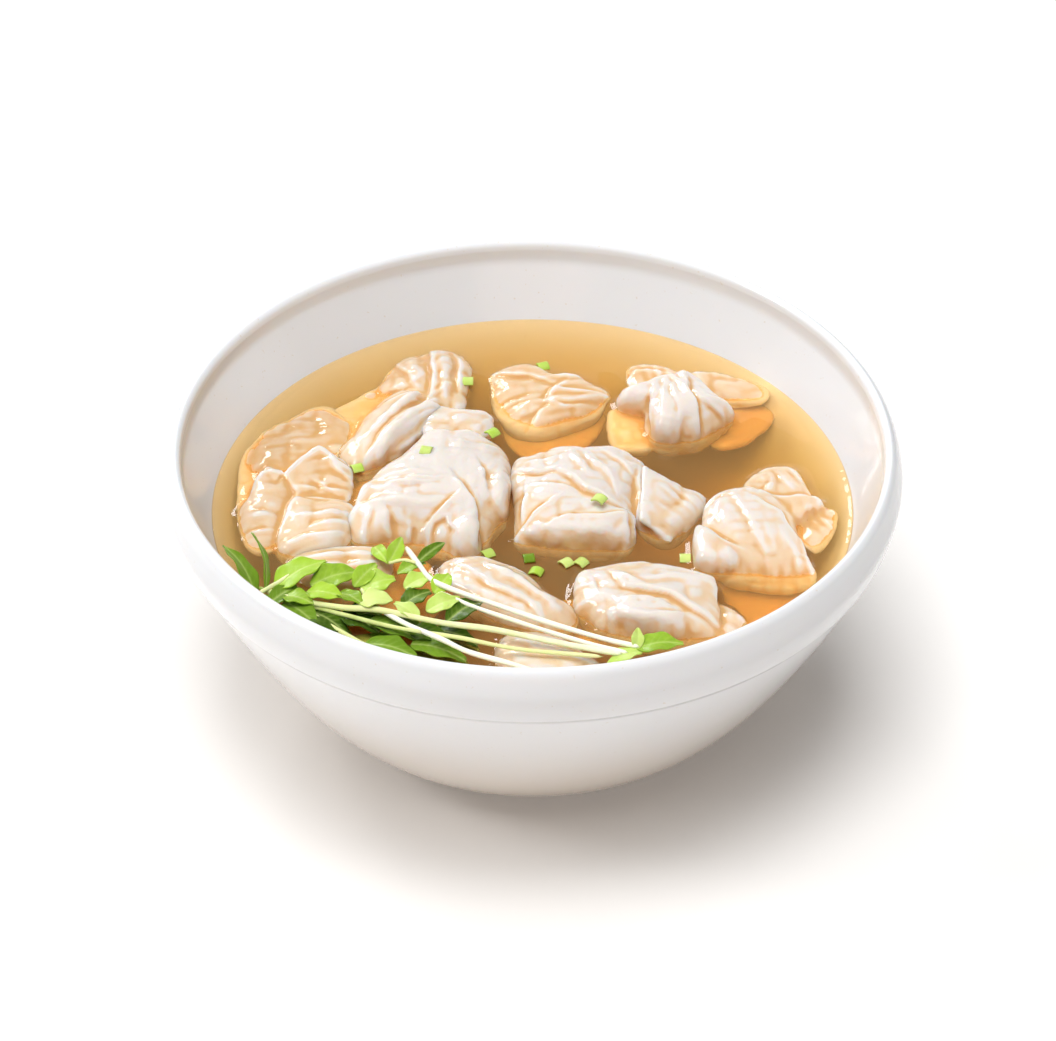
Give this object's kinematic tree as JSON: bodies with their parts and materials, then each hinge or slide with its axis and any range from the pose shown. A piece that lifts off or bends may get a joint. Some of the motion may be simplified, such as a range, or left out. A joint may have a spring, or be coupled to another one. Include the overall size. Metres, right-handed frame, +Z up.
{
  "type": "bowl of wonton soup",
  "caption": "Round white glazed soup bowl with a collared rim, holding clear broth, folded wontons that float in it and a bundle of pea shoots.",
  "frame": {"origin": "on the table under the middle of the bowl", "axes": "+Z up, -Y towards the front of the picture, +X to its right"},
  "size_m": [0.2, 0.2, 0.082],
  "materials": {
    "bowl_glaze": "smooth white glaze",
    "broth": "clear amber liquid",
    "dough": "wet, slightly see-through boiled dough",
    "greens": "fresh leaves and pale stems, wet",
    "scallion": "chopped scallion, wet"
  },
  "bodies": {
    "root": {"bowl": "bowl_glaze", "broth": "broth", "wonton_mid_left": "dough", "wonton_centre": "dough", "wonton_right": "dough", "wonton_front_right": "dough", "wonton_front": "dough", "wonton_back_left": "dough", "wonton_back_right": "dough", "wonton_back": "dough", "wonton_left": "dough", "wonton_rim": "dough", "wonton_front_left": "dough", "pea_shoots": "greens"}
  },
  "joints": []
}
